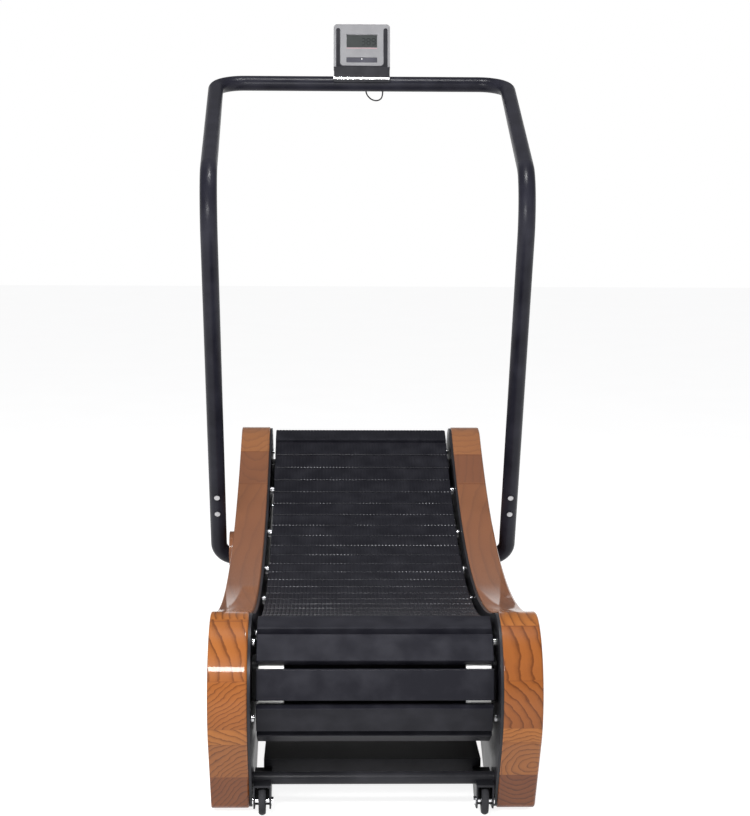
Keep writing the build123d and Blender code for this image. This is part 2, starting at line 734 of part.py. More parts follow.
FACE_START = PIVOT_BACK + CONSOLE_DEPTH / 2 - FACE_DEPTH


def build_face():
    """Front bezel with openings for the display and the button."""
    with BuildPart() as face:
        with BuildSketch(console_plane(FACE_START)):
            with Locations((0, CONSOLE_MIDDLE)):
                RectangleRounded(CONSOLE_WIDTH, CONSOLE_HEIGHT, 9)
            with Locations(DISPLAY_SPOT):
                Rectangle(*DISPLAY_SIZE, mode=Mode.SUBTRACT)
            with Locations(BUTTON_SPOT):
                Rectangle(BUTTON_SIZE[0] + 0.8, BUTTON_SIZE[1] + 0.8, mode=Mode.SUBTRACT)
        extrude(amount=FACE_DEPTH)
    return face.part


def build_display():
    """Liquid crystal display set into the bezel."""
    with BuildPart() as display:
        with BuildSketch(console_plane(FACE_START)):
            with Locations(DISPLAY_SPOT):
                Rectangle(*DISPLAY_SIZE)
        extrude(amount=FACE_DEPTH - 1.5)
    return display.part


def build_button():
    """Long push button under the display."""
    with BuildPart() as button:
        with BuildSketch(console_plane(FACE_START)):
            with Locations(BUTTON_SPOT):
                Rectangle(*BUTTON_SIZE)
        extrude(amount=FACE_DEPTH - 0.5)
    return button.part


def build_circuit_board():
    """Circuit board inside the console, clear of the button's travel."""
    with BuildPart() as board:
        with BuildSketch(console_plane(FACE_START - 6)):
            with Locations((0, CONSOLE_MIDDLE)):
                Rectangle(CONSOLE_WIDTH - 14, CONSOLE_HEIGHT - 14)
        extrude(amount=1.6)
        with BuildSketch(console_plane(FACE_START - 6)):
            with Locations((-50, CONSOLE_MIDDLE), (50, CONSOLE_MIDDLE)):
                Circle(3)
        extrude(amount=6)
    return board.part


def build_saddle():
    """Saddle on the crossbar, with a lip along its front and two lugs for the console's pivot."""
    corner = (Align.MIN, Align.MIN)
    with BuildPart() as saddle:
        with BuildSketch(Plane.YZ.offset(-SADDLE_HALF)):
            with Locations((SADDLE_FRONT, SADDLE_LOW)):
                Rectangle(SADDLE_DEPTH, SADDLE_HEIGHT, align=corner)
                Rectangle(LIP_THICK, LIP_TOP - SADDLE_LOW, align=corner)
            with Locations(CROSSBAR):
                Circle(TUBE_RADIUS, mode=Mode.SUBTRACT)
        extrude(amount=2 * SADDLE_HALF)
        for start in (-BOSS_HALF - LUG_THICK - 0.5, BOSS_HALF + 0.5):
            with BuildSketch(Plane.YZ.offset(start)):
                with Locations((PIVOT[0], PIVOT[1] - 7)):
                    Rectangle(14, 14)
                with Locations(PIVOT):
                    Circle(7)
                    Circle(PIVOT_RADIUS, mode=Mode.SUBTRACT)
            extrude(amount=LUG_THICK)
    return saddle.part


def build_saddle_trim():
    """Bright strip along the saddle's front edge."""
    with BuildPart() as trim:
        with Locations((0, SADDLE_FRONT, TRIM_LOW)):
            Box(2 * SADDLE_HALF, TRIM_THICK, TRIM_HEIGHT, align=(Align.CENTER, Align.MAX, Align.MIN))
    return trim.part


def build_pivot_pin():
    """Pin through the lugs and the console's boss."""
    half = BOSS_HALF + LUG_THICK + 1
    with BuildPart() as pin:
        with BuildSketch(Plane.YZ.offset(-half)):
            with Locations(PIVOT):
                Circle(PIVOT_RADIUS)
        extrude(amount=2 * half)
    return pin.part


# ---------------------------------------------------------------- sensor cable under the crossbar
CABLE_POINTS = (
    (10, 24, 4),
    (10, 24, -12),
    (14, 21, -28),
    (26, 12, -40),
    (42, 4, -43),
    (54, 0, -34),
    (54, 0, -19),
)
GROMMET_DEPTH = 4.0


def cable_route():
    """The cable's points, placed round the crossbar."""
    return [Vector(x, CROSSBAR[0] + y, CROSSBAR[1] + z) for x, y, z in CABLE_POINTS]


def bend_radii(route):
    """The largest round bend at each corner of a route: 0.45 of its shorter run."""
    radii = []
    for before, corner, after in zip(route, route[1:], route[2:]):
        turn = math.radians((corner - before).get_angle(after - corner))
        shorter = min((corner - before).length, (after - corner).length)
        radii.append(0.45 * shorter / math.tan(turn / 2))
    return radii


def build_cable():
    """Thin cable: straight runs joined by round bends."""
    route = cable_route()
    radii = bend_radii(route)
    print("cable bend radii", [round(radius, 1) for radius in radii])
    with BuildPart() as cable:
        with BuildLine() as path:
            FilletPolyline(*route, radius=radii)
        with BuildSketch(Plane(origin=path.line @ 0, z_dir=path.line % 0)):
            Circle(CABLE_RADIUS)
        sweep(path=path.line)
    length = sum(edge.length for edge in path.edges())
    expected = math.pi * CABLE_RADIUS**2 * length
    print("cable length", round(length, 1), "volume", round(cable.part.volume), round(expected))
    return cable.part


def build_grommets():
    """Rubber grommets where the cable leaves the saddle and enters the rail."""
    route = cable_route()
    with BuildPart() as grommets:
        with Locations(route[0]):
            Cylinder(3.5, GROMMET_DEPTH, align=(Align.CENTER, Align.CENTER, Align.MAX))
            Cylinder(
                CABLE_RADIUS + 0.05,
                GROMMET_DEPTH,
                align=(Align.CENTER, Align.CENTER, Align.MAX),
                mode=Mode.SUBTRACT,
            )
        with Locations(route[-1]):
            Cylinder(CABLE_HOLE, TUBE_WALL + 1, align=(Align.CENTER, Align.CENTER, Align.MIN))
    return grommets.part


# ---------------------------------------------------------------- write every piece
SIDES = (("left", -1), ("right", 1))
AXES = (("rear", REAR_AXIS), ("front", FRONT_AXIS))

for name, side in SIDES:
    save(build_panel(side), name + "_wood_panel")
    save(build_plate(side), name + "_side_plate")
    save(build_bracket(side), name + "_wheel_bracket")
    save(build_wheel(side), name + "_transport_wheel")
    save(build_foot(side), name + "_front_foot")
    save(build_edge_belt(side), name + "_edge_belt")
    save(build_support_pins(side), name + "_support_pins")
    save(build_rail_foot(side), name + "_handrail_foot")
    for number in range(SUPPORT_COUNT):
        save(build_support_roller(side, number), name + "_support_roller_" + str(number + 1))

for name, axis in AXES:
    save(build_drum(axis), name + "_roller_drum")
    save(build_pulleys(axis), name + "_belt_pulleys")
    save(build_shaft(axis), name + "_roller_shaft")
    save(build_blocks(axis), name + "_bearing_blocks")

save(build_panel_bolts(), "panel_bolts")
save(build_wheel_bolts(), "wheel_bolts")
save(build_cross_tube(REAR_TUBE, REAR_TUBE_RADIUS, 2), "rear_cross_tube")
save(build_cross_tube(MID_TUBE, 16, 2), "middle_cross_tube")
save(build_cross_tube(FRONT_TUBE, 16, 2), "front_cross_tube")
save(build_bar(), "wheel_angle_bar")

run_slats = round(stretch_length(belt_stretches()[0]) / SLAT_PITCH)
front_slats = run_slats + 5
return_slats = SLAT_COUNT - 5
save(build_slats(0, run_slats), "running_slats")
save(build_slats(run_slats, front_slats), "front_turn_slats")
save(build_slats(front_slats, return_slats), "return_slats")
save(build_slats(return_slats, SLAT_COUNT), "rear_turn_slats")

save(build_handrail(), "handrail")
save(build_rail_bolts(), "handrail_bolts")
save(build_spacer(), "left_handrail_spacer")
save(build_case(), "console_case")
save(build_face(), "console_face")
save(build_display(), "console_display")
save(build_button(), "console_button")
save(build_circuit_board(), "console_circuit_board")
save(build_saddle(), "console_saddle")
save(build_saddle_trim(), "console_saddle_trim")
save(build_pivot_pin(), "console_pivot_pin")
save(build_cable(), "sensor_cable")
save(build_grommets(), "cable_grommets")
print("belt", round(BELT_LENGTH, 1), "pitch", round(SLAT_PITCH, 3), "slats on the run", run_slats)
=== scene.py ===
import math
import random

import bmesh
import bpy
from mathutils import Matrix, Vector


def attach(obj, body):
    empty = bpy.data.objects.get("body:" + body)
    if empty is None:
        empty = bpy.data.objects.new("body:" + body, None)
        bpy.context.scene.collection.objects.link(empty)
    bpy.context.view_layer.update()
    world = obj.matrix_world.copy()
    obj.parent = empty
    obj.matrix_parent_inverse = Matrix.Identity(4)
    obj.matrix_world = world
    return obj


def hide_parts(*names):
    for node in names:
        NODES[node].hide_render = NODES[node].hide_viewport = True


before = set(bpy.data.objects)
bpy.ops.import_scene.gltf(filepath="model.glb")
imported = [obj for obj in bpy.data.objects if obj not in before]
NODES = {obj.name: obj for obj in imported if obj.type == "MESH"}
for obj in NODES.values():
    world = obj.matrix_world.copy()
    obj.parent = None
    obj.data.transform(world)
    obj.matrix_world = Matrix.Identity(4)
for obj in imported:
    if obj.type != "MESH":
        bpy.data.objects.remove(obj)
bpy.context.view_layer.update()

# Looks of a curved manual treadmill: laminated wood sides, a ribbed slat belt, a bent tube handrail.
# Frame: metres, +X to the user's right, +Y forward to the console, +Z up.


# ---------------------------------------------------------------- camera
CAMERA_PLACE = (-0.0935, -4.4587, 1.221)
CAMERA_PITCH = 7.0              # degrees down
CAMERA_YAW = 1.43               # degrees to the right
CAMERA_ROLL = 0.30
LENS = 90.0

camera = bpy.data.objects.new("camera", bpy.data.cameras.new("camera"))
camera.data.lens = LENS
camera.data.sensor_width = 36.0
camera.data.clip_end = 100.0
turn = Matrix.Rotation(math.radians(-CAMERA_YAW), 4, "Z")
turn @= Matrix.Rotation(math.radians(90 - CAMERA_PITCH), 4, "X")
turn @= Matrix.Rotation(math.radians(CAMERA_ROLL), 4, "Z")
camera.matrix_world = Matrix.Translation(CAMERA_PLACE) @ turn
bpy.context.scene.collection.objects.link(camera)
bpy.context.scene.camera = camera
bpy.context.scene.view_settings.view_transform = "Standard"


# ---------------------------------------------------------------- material nodes
class Graph:
    """One procedural material, with short calls that add its nodes and join them."""

    def __init__(self, name, **shader):
        self.material = bpy.data.materials.new(name)
        self.material.use_nodes = True
        self.nodes = self.material.node_tree.nodes
        self.links = self.material.node_tree.links
        self.shader = self.nodes["Principled BSDF"]
        for socket, value in shader.items():
            self.shader.inputs[socket.replace("_", " ")].default_value = value
        self.place = self.nodes.new("ShaderNodeTexCoord").outputs["Object"]

    def feed(self, socket, value):
        """Give a socket a constant, or join it to another node's output."""
        if isinstance(value, bpy.types.NodeSocket):
            self.links.new(value, socket)
        else:
            socket.default_value = value

    def drive(self, socket, value):
        """Feed a socket of the shader."""
        self.feed(self.shader.inputs[socket], value)

    def math(self, operation, *values):
        node = self.nodes.new("ShaderNodeMath")
        node.operation = operation
        for socket, value in zip(node.inputs, values):
            self.feed(socket, value)
        return node.outputs[0]

    def vector(self, operation, *values):
        node = self.nodes.new("ShaderNodeVectorMath")
        node.operation = operation
        for socket, value in zip(node.inputs, values):
            self.feed(socket, value)
        return node.outputs[0]

    def split(self, value):
        node = self.nodes.new("ShaderNodeSeparateXYZ")
        self.feed(node.inputs[0], value)
        return node.outputs

    def join(self, x, y, z):
        node = self.nodes.new("ShaderNodeCombineXYZ")
        for socket, value in zip(node.inputs, (x, y, z)):
            self.feed(socket, value)
        return node.outputs[0]

    def noise(self, scale, stretch=(1, 1, 1), detail=3.0):
        """Noise from 0 to 1, drawn out along an axis by a small stretch there."""
        node = self.nodes.new("ShaderNodeTexNoise")
        node.inputs["Scale"].default_value = scale
        node.inputs["Detail"].default_value = detail
        self.feed(node.inputs["Vector"], self.vector("MULTIPLY", self.place, stretch))
        return node.outputs[0]

    def noise_colour(self, scale, stretch=(1, 1, 1)):
        """Three smooth noises at once, from 0 to 1."""
        node = self.nodes.new("ShaderNodeTexNoise")
        node.inputs["Scale"].default_value = scale
        node.inputs["Detail"].default_value = 1.0
        self.feed(node.inputs["Vector"], self.vector("MULTIPLY", self.place, stretch))
        return node.outputs["Color"]

    def vector_length(self, value):
        node = self.nodes.new("ShaderNodeVectorMath")
        node.operation = "LENGTH"
        self.feed(node.inputs[0], value)
        return node.outputs["Value"]

    def ramp(self, value, *stops, constant=False):
        """Colour from a value, with stops of (place, colour)."""
        node = self.nodes.new("ShaderNodeValToRGB")
        node.color_ramp.interpolation = "CONSTANT" if constant else "LINEAR"
        marks = node.color_ramp.elements
        while len(marks) < len(stops):
            marks.new(1.0)
        for mark, (spot, colour) in zip(marks, stops):
            mark.position = spot
            mark.color = (*colour, 1.0)
        self.feed(node.inputs[0], value)
        return node.outputs[0]

    def mix(self, factor, first, second):
        """The first colour at a factor of 0 and the second at 1."""
        node = self.nodes.new("ShaderNodeMix")
        node.data_type = "RGBA"
        for number, value in zip((0, 6, 7), (factor, first, second)):
            self.feed(node.inputs[number], (*value, 1.0) if isinstance(value, tuple) else value)
        return node.outputs[2]

    def bump(self, height, distance, strength=1.0):
        node = self.nodes.new("ShaderNodeBump")
        node.inputs["Distance"].default_value = distance
        node.inputs["Strength"].default_value = strength
        self.feed(node.inputs["Height"], height)
        self.drive("Normal", node.outputs[0])

    def range(self, value, low, high):
        """A value from 0 to 1 moved to run from low to high."""
        return self.math("MULTIPLY_ADD", value, high - low, low)


def dress(material, *names):
    """Give CAD nodes or new pieces a material."""
    for name in names:
        piece = NODES.get(name) or bpy.data.objects[name]
        piece.data.materials.clear()
        piece.data.materials.append(material)


# ---------------------------------------------------------------- laminated wood
# Boards of one stack, from the bottom up: top of the board (m), tone, place of its heart across
# and up, and the step of its rings.
REAR_STACK_LEFT = (
    (0.083, 0.28, 0.06, -0.03, 0.010),
    (0.161, 0.60, 0.05, 0.040, 0.010),
    (0.194, 0.85, -0.09, 0.10, 0.014),
    (0.283, 0.58, 0.05, 0.145, 0.009),
    (0.373, 0.55, -0.24, 0.295, 0.021),
    (0.600, 0.66, 0.12, 0.50, 0.014),
)
REAR_STACK_RIGHT = (
    (0.088, 0.15, -0.03, 0.15, 0.012),
    (0.165, 0.66, -0.02, 0.155, 0.011),
    (0.196, 0.82, -0.02, 0.150, 0.008),
    (0.284, 0.40, -0.30, 0.11, 0.016),
    (0.367, 0.42, -0.22, 0.325, 0.022),
    (0.600, 0.74, 0.12, 0.52, 0.016),
)
MIDDLE_STACK = (
    (0.150, 0.45, 0.05, 0.02, 0.014),
    (0.240, 0.62, -0.10, 0.30, 0.016),
    (0.600, 0.50, 0.30, 0.10, 0.022),
)
FRONT_STACK_LEFT = (
    (0.110, 0.40, 0.10, 0.00, 0.014),
    (0.215, 0.66, -0.10, 0.28, 0.012),
    (0.320, 0.45, 0.12, 0.22, 0.016),
    (0.426, 0.58, -0.08, 0.30, 0.014),
    (0.485, 0.36, 0.04, 0.47, 0.017),
    (0.600, 0.86, 0.01, 0.57, 0.012),
)
FRONT_STACK_RIGHT = (
    (0.110, 0.55, 0.06, 0.00, 0.014),
    (0.215, 0.42, -0.10, 0.28, 0.012),
    (0.320, 0.68, 0.12, 0.18, 0.016),
    (0.427, 0.46, -0.08, 0.30, 0.014),
    (0.479, 0.30, -0.04, 0.46, 0.018),
    (0.600, 0.84, 0.02, 0.60, 0.012),
)
STACK_HEIGHT = 0.6
REAR_STACK_END = -0.66          # rear boards butt against the middle boards here
FRONT_STACK_START = 0.483
GLUE_HALF = 0.0005


def stack_facts(graph, height, boards):
    """Tone and heart of the board at a height, its ring step, and how near a glue line is."""
    hearts, steps, bottom = [], [], 0.0
    for top, tone, across, up, step in boards:
        hearts.append((bottom / STACK_HEIGHT, (tone, across + 0.5, up)))
        steps.append((bottom / STACK_HEIGHT, (step, step, step)))
        bottom = top
    share = graph.math("DIVIDE", height, STACK_HEIGHT)
    facts = graph.ramp(share, *hearts, constant=True)
    step = graph.ramp(share, *steps, constant=True)
    nearest = 1.0
    for top, *_ in boards[:-1]:
        nearest = graph.math("MINIMUM", nearest, graph.math("ABSOLUTE", graph.math("SUBTRACT", height, top)))
    return facts, step, nearest


def wood(name, centre_x, rear, front):
    """Lacquered boards, each with its own rings round its own heart, and thin glue lines."""
    graph = Graph(name, Coat_Weight=0.7, Coat_Roughness=0.05, Coat_IOR=1.32, Specular_IOR_Level=0.08)
    x, y, z = graph.split(graph.place)
    rear_facts, rear_step, rear_glue = stack_facts(graph, z, rear)
    middle_facts, middle_step, middle_glue = stack_facts(graph, z, MIDDLE_STACK)
    front_facts, front_step, front_glue = stack_facts(graph, z, front)
    past_rear = graph.math("GREATER_THAN", y, REAR_STACK_END)
    past_middle = graph.math("GREATER_THAN", y, FRONT_STACK_START)
    facts = graph.mix(past_middle, graph.mix(past_rear, rear_facts, middle_facts), front_facts)
    facts = graph.split(facts)
    step = graph.mix(past_middle, graph.mix(past_rear, rear_step, middle_step), front_step)

    # Distance from the heart, which leans along the board and wanders a little.
    wander = graph.vector("SUBTRACT", graph.noise_colour(5.0, (1.4, 0.5, 1.4)), (0.5, 0.5, 0.5))
    wander = graph.split(graph.vector("MULTIPLY", wander, (0.030, 0.0, 0.030)))
    lean = graph.math("MULTIPLY", y, 0.05)
    across = graph.math("SUBTRACT", x, graph.math("ADD", facts[1], centre_x - 0.5))
    across = graph.math("ADD", graph.math("ADD", across, wander[0]), lean)
    up = graph.math("ADD", graph.math("SUBTRACT", z, facts[2]), wander[2])
    up = graph.math("SUBTRACT", up, lean)
    reach = graph.vector_length(graph.join(across, 0.0, up))
    uneven = graph.range(graph.noise(22.0, (1, 0.10, 1), 4.0), -0.014, 0.014)
    rings = graph.math("FRACT", graph.math("DIVIDE", graph.math("ADD", reach, uneven), step))
    late = graph.ramp(
        rings,
        (0.0, (0.05, 0.05, 0.05)),
        (0.50, (0.12, 0.12, 0.12)),
        (0.76, (0.45, 0.45, 0.45)),
        (0.87, (1.0, 1.0, 1.0)),
        (0.95, (0.85, 0.85, 0.85)),
        (1.0, (0.05, 0.05, 0.05)),
    )
    fibre = graph.noise(900.0, (1, 0.02, 1), 4.0)
    cloud = graph.noise(9.0, (1, 0.3, 1), 3.0)

    early_wood = graph.ramp(
        graph.math("ADD", facts[0], graph.range(cloud, -0.22, 0.22)),
        (0.0, (0.085, 0.020, 0.006)),
        (0.5, (0.205, 0.067, 0.015)),
        (1.0, (0.315, 0.118, 0.027)),
    )
    late_wood = graph.ramp(
        facts[0],
        (0.0, (0.014, 0.003, 0.001)),
        (1.0, (0.052, 0.012, 0.003)),
    )
    # The rings stand out less past the rear stack.
    plain = graph.range(past_rear, 1.0, 0.45)
    patchy = graph.math("MULTIPLY", graph.range(fibre, 0.5, 1.0), graph.range(cloud, 0.55, 1.25))
    grain = graph.math("MULTIPLY", graph.math("MULTIPLY", late, plain), patchy)
    colour = graph.mix(grain, early_wood, late_wood)
    colour = graph.mix(graph.range(fibre, 0.0, 0.30), colour, (0.100, 0.026, 0.008))

    # Painted reflection: past the rear stack the colour is mixed a third of the way towards a pale pinkish
    # brown, standing in for the bright backdrop mirrored in the lacquer.
    colour = graph.mix(graph.math("MULTIPLY", past_rear, 0.32), colour, (0.180, 0.105, 0.080))

    butts = graph.math("MINIMUM",
        graph.math("ABSOLUTE", graph.math("SUBTRACT", y, REAR_STACK_END)),
        graph.math("ABSOLUTE", graph.math("SUBTRACT", y, FRONT_STACK_START)))
    glue = graph.math("ADD", graph.math("MULTIPLY", rear_glue, graph.math("SUBTRACT", 1.0, past_rear)),
        graph.math("MULTIPLY", front_glue, past_middle))
    between = graph.math("SUBTRACT", past_rear, past_middle)
    glue = graph.math("ADD", glue, graph.math("MULTIPLY", middle_glue, between))
    glue = graph.math("LESS_THAN", graph.math("MINIMUM", glue, butts), GLUE_HALF)
    colour = graph.mix(graph.math("MULTIPLY", glue, 0.55), colour, (0.10, 0.03, 0.010))
    graph.drive("Base Color", colour)
    graph.drive("Roughness", graph.range(fibre, 0.30, 0.48))
    graph.bump(graph.math("SUBTRACT", graph.math("MULTIPLY", fibre, 0.2), glue), 0.0002, 0.25)
    return graph.material


# ---------------------------------------------------------------- other materials
def coated_steel(name, colour, roughness):
    """Satin powder coat: orange peel, faint dust and a slight change of gloss."""
    graph = Graph(name, Specular_IOR_Level=0.14, Coat_Weight=0.03, Coat_Roughness=0.20)
    peel = graph.noise(700.0, detail=2.0)
    dust = graph.noise(14.0, detail=5.0)
    pale = tuple(min(1.0, part * 1.8 + 0.004) for part in colour)
    graph.drive("Base Color", graph.ramp(dust, (0.35, colour), (0.75, pale)))
    graph.drive("Roughness", graph.range(dust, roughness - 0.06, roughness + 0.08))
    graph.bump(peel, 0.0003, 0.35)
    return graph.material


def metal(name, colour, roughness, streak=(1, 1, 1)):
    """Bright metal with fine tool marks, drawn out along an axis by a small streak."""
    graph = Graph(name, Metallic=1.0)
    marks = graph.noise(1200.0, streak, 3.0)
    stain = graph.noise(60.0, detail=4.0)
    dull = tuple(part * 0.75 for part in colour)
    graph.drive("Base Color", graph.ramp(stain, (0.3, dull), (0.6, colour)))
    graph.drive("Roughness", graph.range(marks, roughness, roughness + 0.15))
    graph.bump(marks, 0.00005, 0.3)
    return graph.material


def rubber(name, colour, roughness, grain=1500.0):
    """Moulded rubber or plastic: a fine matte grain with paler rubbed areas."""
    graph = Graph(name, Specular_IOR_Level=0.12)
    fine = graph.noise(grain, detail=2.0)
    rubbed = graph.noise(22.0, detail=5.0)
    pale = tuple(min(1.0, part * 1.5 + 0.006) for part in colour)
    graph.drive("Base Color", graph.ramp(rubbed, (0.40, colour), (0.80, pale)))
    graph.drive("Roughness", graph.range(rubbed, roughness - 0.05, roughness + 0.10))
    graph.bump(fine, 0.0002, 0.4)
    return graph.material


def glint_painted_edge(name, step, share):
    """Rubber with painted glints: pale in patches where its ribs stand, and smoother there."""
    graph = Graph(name, Specular_IOR_Level=0.3)
    x, y, z = graph.split(graph.place)
    standing = graph.math("LESS_THAN", graph.math("FRACT", graph.math("DIVIDE", x, step)), share)
    patch = graph.ramp(graph.noise(8.0, (1, 3.0, 1), 4.0), (0.50, (0.0, 0.0, 0.0)), (0.68, (1.0, 1.0, 1.0)))
    painted_glint = graph.math("MULTIPLY", standing, patch)
    # Painted glints: pale rubber colour on the standing ribs, in patches.
    graph.drive("Base Color", graph.mix(painted_glint, (0.008, 0.008, 0.011), (0.26, 0.26, 0.28)))
    graph.drive("Roughness", graph.range(painted_glint, 0.40, 0.15))
    graph.bump(graph.noise(1500.0, detail=2.0), 0.0002, 0.3)
    return graph.material


def silver_paint(name):
    """Silver paint with fine flakes."""
    graph = Graph(name, Metallic=0.55, Coat_Weight=0.2, Coat_Roughness=0.2)
    flakes = graph.noise(4000.0, detail=1.0)
    cloud = graph.noise(30.0, detail=3.0)
    graph.drive("Base Color", graph.ramp(
        graph.math("ADD", graph.math("MULTIPLY", flakes, 0.6), graph.math("MULTIPLY", cloud, 0.4)),
        (0.3, (0.21, 0.21, 0.22)),
        (0.7, (0.30, 0.30, 0.31)),
    ))
    graph.drive("Roughness", graph.range(flakes, 0.34, 0.46))
    graph.bump(flakes, 0.00005, 0.3)
    return graph.material


def liquid_crystal(name):
    """Grey-green display with its faint row grid, under a clear cover."""
    graph = Graph(name, Coat_Weight=1.0, Coat_Roughness=0.05, Roughness=0.45)
    x, y, z = graph.split(graph.place)
    cells = graph.math("PINGPONG", graph.math("MULTIPLY", x, 900.0), 1.0)
    cloud = graph.noise(40.0, detail=3.0)
    tone = graph.math("ADD", graph.math("MULTIPLY", cells, 0.15), graph.math("MULTIPLY", cloud, 0.85))
    graph.drive("Base Color", graph.ramp(tone, (0.2, (0.011, 0.014, 0.014)), (0.8, (0.019, 0.023, 0.022))))
    graph.bump(cells, 0.00002, 0.2)
    return graph.material


def circuit(name):
    """Green solder mask with paler tracks."""
    graph = Graph(name, Roughness=0.35, Coat_Weight=0.4)
    x, y, z = graph.split(graph.place)
    tracks = graph.math("MULTIPLY",
        graph.math("PINGPONG", graph.math("MULTIPLY", x, 180.0), 1.0), graph.noise(70.0, detail=1.0))
    graph.drive("Base Color", graph.ramp(tracks, (0.40, (0.01, 0.07, 0.025)), (0.46, (0.04, 0.20, 0.08))))
    graph.bump(tracks, 0.0001, 0.3)
    return graph.material


left_wood = wood("left_boards", -0.268, REAR_STACK_LEFT, FRONT_STACK_LEFT)
right_wood = wood("right_boards", 0.268, REAR_STACK_RIGHT, FRONT_STACK_RIGHT)
black_coat = coated_steel("black_powder_coat", (0.010, 0.010, 0.012), 0.36)
rail_coat = coated_steel("rail_powder_coat", (0.007, 0.007, 0.011), 0.34)
block_paint = coated_steel("block_paint", (0.010, 0.010, 0.011), 0.50)
slat_black = rubber("slat_black", (0.007, 0.007, 0.010), 0.42)
belt_white = rubber("belt_urethane", (0.72, 0.72, 0.70), 0.45, 600.0)
tyre_black = rubber("tyre_black", (0.016, 0.016, 0.018), 0.62)
foot_black = rubber("foot_black", (0.012, 0.012, 0.013), 0.70)
chrome = metal("bright_plate", (0.85, 0.85, 0.87), 0.08)
polished = metal("polished_trim", (0.93, 0.93, 0.95), 0.10, (0.02, 1, 1))
ground_steel = metal("ground_steel", (0.56, 0.56, 0.58), 0.25)
pulley_metal = metal("turned_aluminium", (0.20, 0.20, 0.22), 0.35)
console_black = rubber("console_black", (0.014, 0.014, 0.017), 0.38, 2500.0)
button_black = rubber("button_black", (0.045, 0.045, 0.055), 0.45, 2500.0)
rose_line = coated_steel("rose_line", (0.33, 0.17, 0.18), 0.40)
digit_grey = rubber("digit_grey", (0.006, 0.008, 0.008), 0.40, 2500.0)
cable_black = rubber("cable_black", (0.013, 0.013, 0.014), 0.45, 3000.0)
silver = silver_paint("silver_paint")
glass_grey = liquid_crystal("display_grey")
green_board = circuit("circuit_green")

for side, boards in (("left", left_wood), ("right", right_wood)):
    dress(boards, side + "_wood_panel")
    dress(black_coat, side + "_side_plate", side + "_wheel_bracket")
    dress(tyre_black, side + "_transport_wheel")
    dress(foot_black, side + "_front_foot")
    dress(belt_white, side + "_edge_belt")
    dress(rail_coat, side + "_handrail_foot")
    dress(ground_steel, side + "_support_pins")
    dress(ground_steel, *[name for name in NODES if name.startswith(side + "_support_roller_")])
for end in ("rear", "front"):
    dress(black_coat, end + "_roller_drum")
    dress(pulley_metal, end + "_belt_pulleys")
    dress(ground_steel, end + "_roller_shaft")
    dress(block_paint, end + "_bearing_blocks")
dress(left_wood, "left_handrail_spacer")
dress(chrome, "panel_bolts", "wheel_bolts", "console_pivot_pin")
dress(ground_steel, "handrail_bolts")
dress(black_coat, "rear_cross_tube", "middle_cross_tube", "front_cross_tube", "wheel_angle_bar")
dress(rail_coat, "handrail")
dress(silver, "console_face")
dress(console_black, "console_case", "console_saddle")
dress(glass_grey, "console_display")
dress(button_black, "console_button")
dress(green_board, "console_circuit_board")
dress(polished, "console_saddle_trim")
dress(cable_black, "cable_grommets", "sensor_cable")


# ---------------------------------------------------------------- new pieces
def piece(name, mesh, material, body, slot_name):
    """A new object from a bmesh, with its material, riding on a body."""
    data = bpy.data.meshes.new(name)
    bmesh.ops.recalc_face_normals(mesh, faces=mesh.faces)
    mesh.to_mesh(data)
    mesh.free()
    made = bpy.data.objects.new(name, data)
    bpy.context.scene.collection.objects.link(made)
    data.materials.append(material)
    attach(made, body)
    return made


# ---------------------------------------------------------------- console face
# Places on the face are (across, up) from the pivot; depths run out of the face towards the user.
PIVOT = Vector((0.0, 0.84705, 1.440))
TILT = math.radians(12.0)
FACE_UP = Vector((0.0, math.sin(TILT), math.cos(TILT)))
FACE_OUT = Vector((0.0, -math.cos(TILT), math.sin(TILT)))
FACE_FRONT = 0.0320
DISPLAY_FRONT = 0.0305
BUTTON_FRONT = 0.0315
SLOT_INNER = 0.0554
SLOT_OUTER = 0.0658
SLOT_TOP = 0.0998               # where a slot's rounded end starts
PANEL_FOOT = 0.0070             # low edge of the silver panel between the slots
PANEL_CORNER = 0.0090
STRIP_FOOT = 0.0040             # low edge of the silver strips outside the slots
SURROUND_HALF = 0.0715
SURROUND_CORNER = 0.0085
SURROUND_FOOT = -0.0065
PRINT = 0.0003                  # how far painted marks stand off
PANEL_RIM = 0.0011              # bright rim round the silver panel
STRIP_RIM = 0.0009              # bright rim of the outer silver strips
SLOT_LINE_HALF = 0.0006         # paler line down the middle of a slot
SLOT_LINE_ENDS = (0.010, 0.100)
DISPLAY_BEVEL = (-0.0400, 0.0400, 0.0877, 0.0890)      # left, right, low, high
DISPLAY_UNDERLINE = (-0.0390, 0.0390, 0.0522, 0.0531)
BUTTON_MARK = ((-0.0016, 0.0238), (0.0016, 0.0238), (0.0, 0.0268))


def arc(across, up, radius, first, last, steps=10):
    """Points on an arc in the face's plane, between two angles in degrees."""
    angles = [math.radians(first + (last - first) * step / steps) for step in range(steps + 1)]
    return [(across + radius * math.cos(angle), up + radius * math.sin(angle)) for angle in angles]


def add_plate(mesh, outline, back, thick):
    """A flat plate with an outline in the face's plane, standing out from a depth."""
    layers = [[mesh.verts.new(PIVOT + Vector((across, 0, 0)) + FACE_UP * up + FACE_OUT * depth)
               for across, up in outline] for depth in (back, back + thick)]
    mesh.faces.new(layers[1])
    for low in range(len(outline)):
        high = (low + 1) % len(outline)
        mesh.faces.new((layers[0][low], layers[0][high], layers[1][high], layers[1][low]))


def box_outline(left, right, low, high):
    """Corners of an upright rectangle in the face's plane."""
    return [(left, low), (right, low), (right, high), (left, high)]


def ribbon(points, width):
    """Outline of a band of a width that follows points."""
    sides = ([], [])
    for here in range(len(points)):
        before, after = points[max(here - 1, 0)], points[min(here + 1, len(points) - 1)]
        along = Vector((after[0] - before[0], after[1] - before[1])).normalized() * width / 2
        sides[0].append((points[here][0] - along.y, points[here][1] + along.x))
        sides[1].append((points[here][0] + along.y, points[here][1] - along.x))
    return sides[0] + sides[1][::-1]


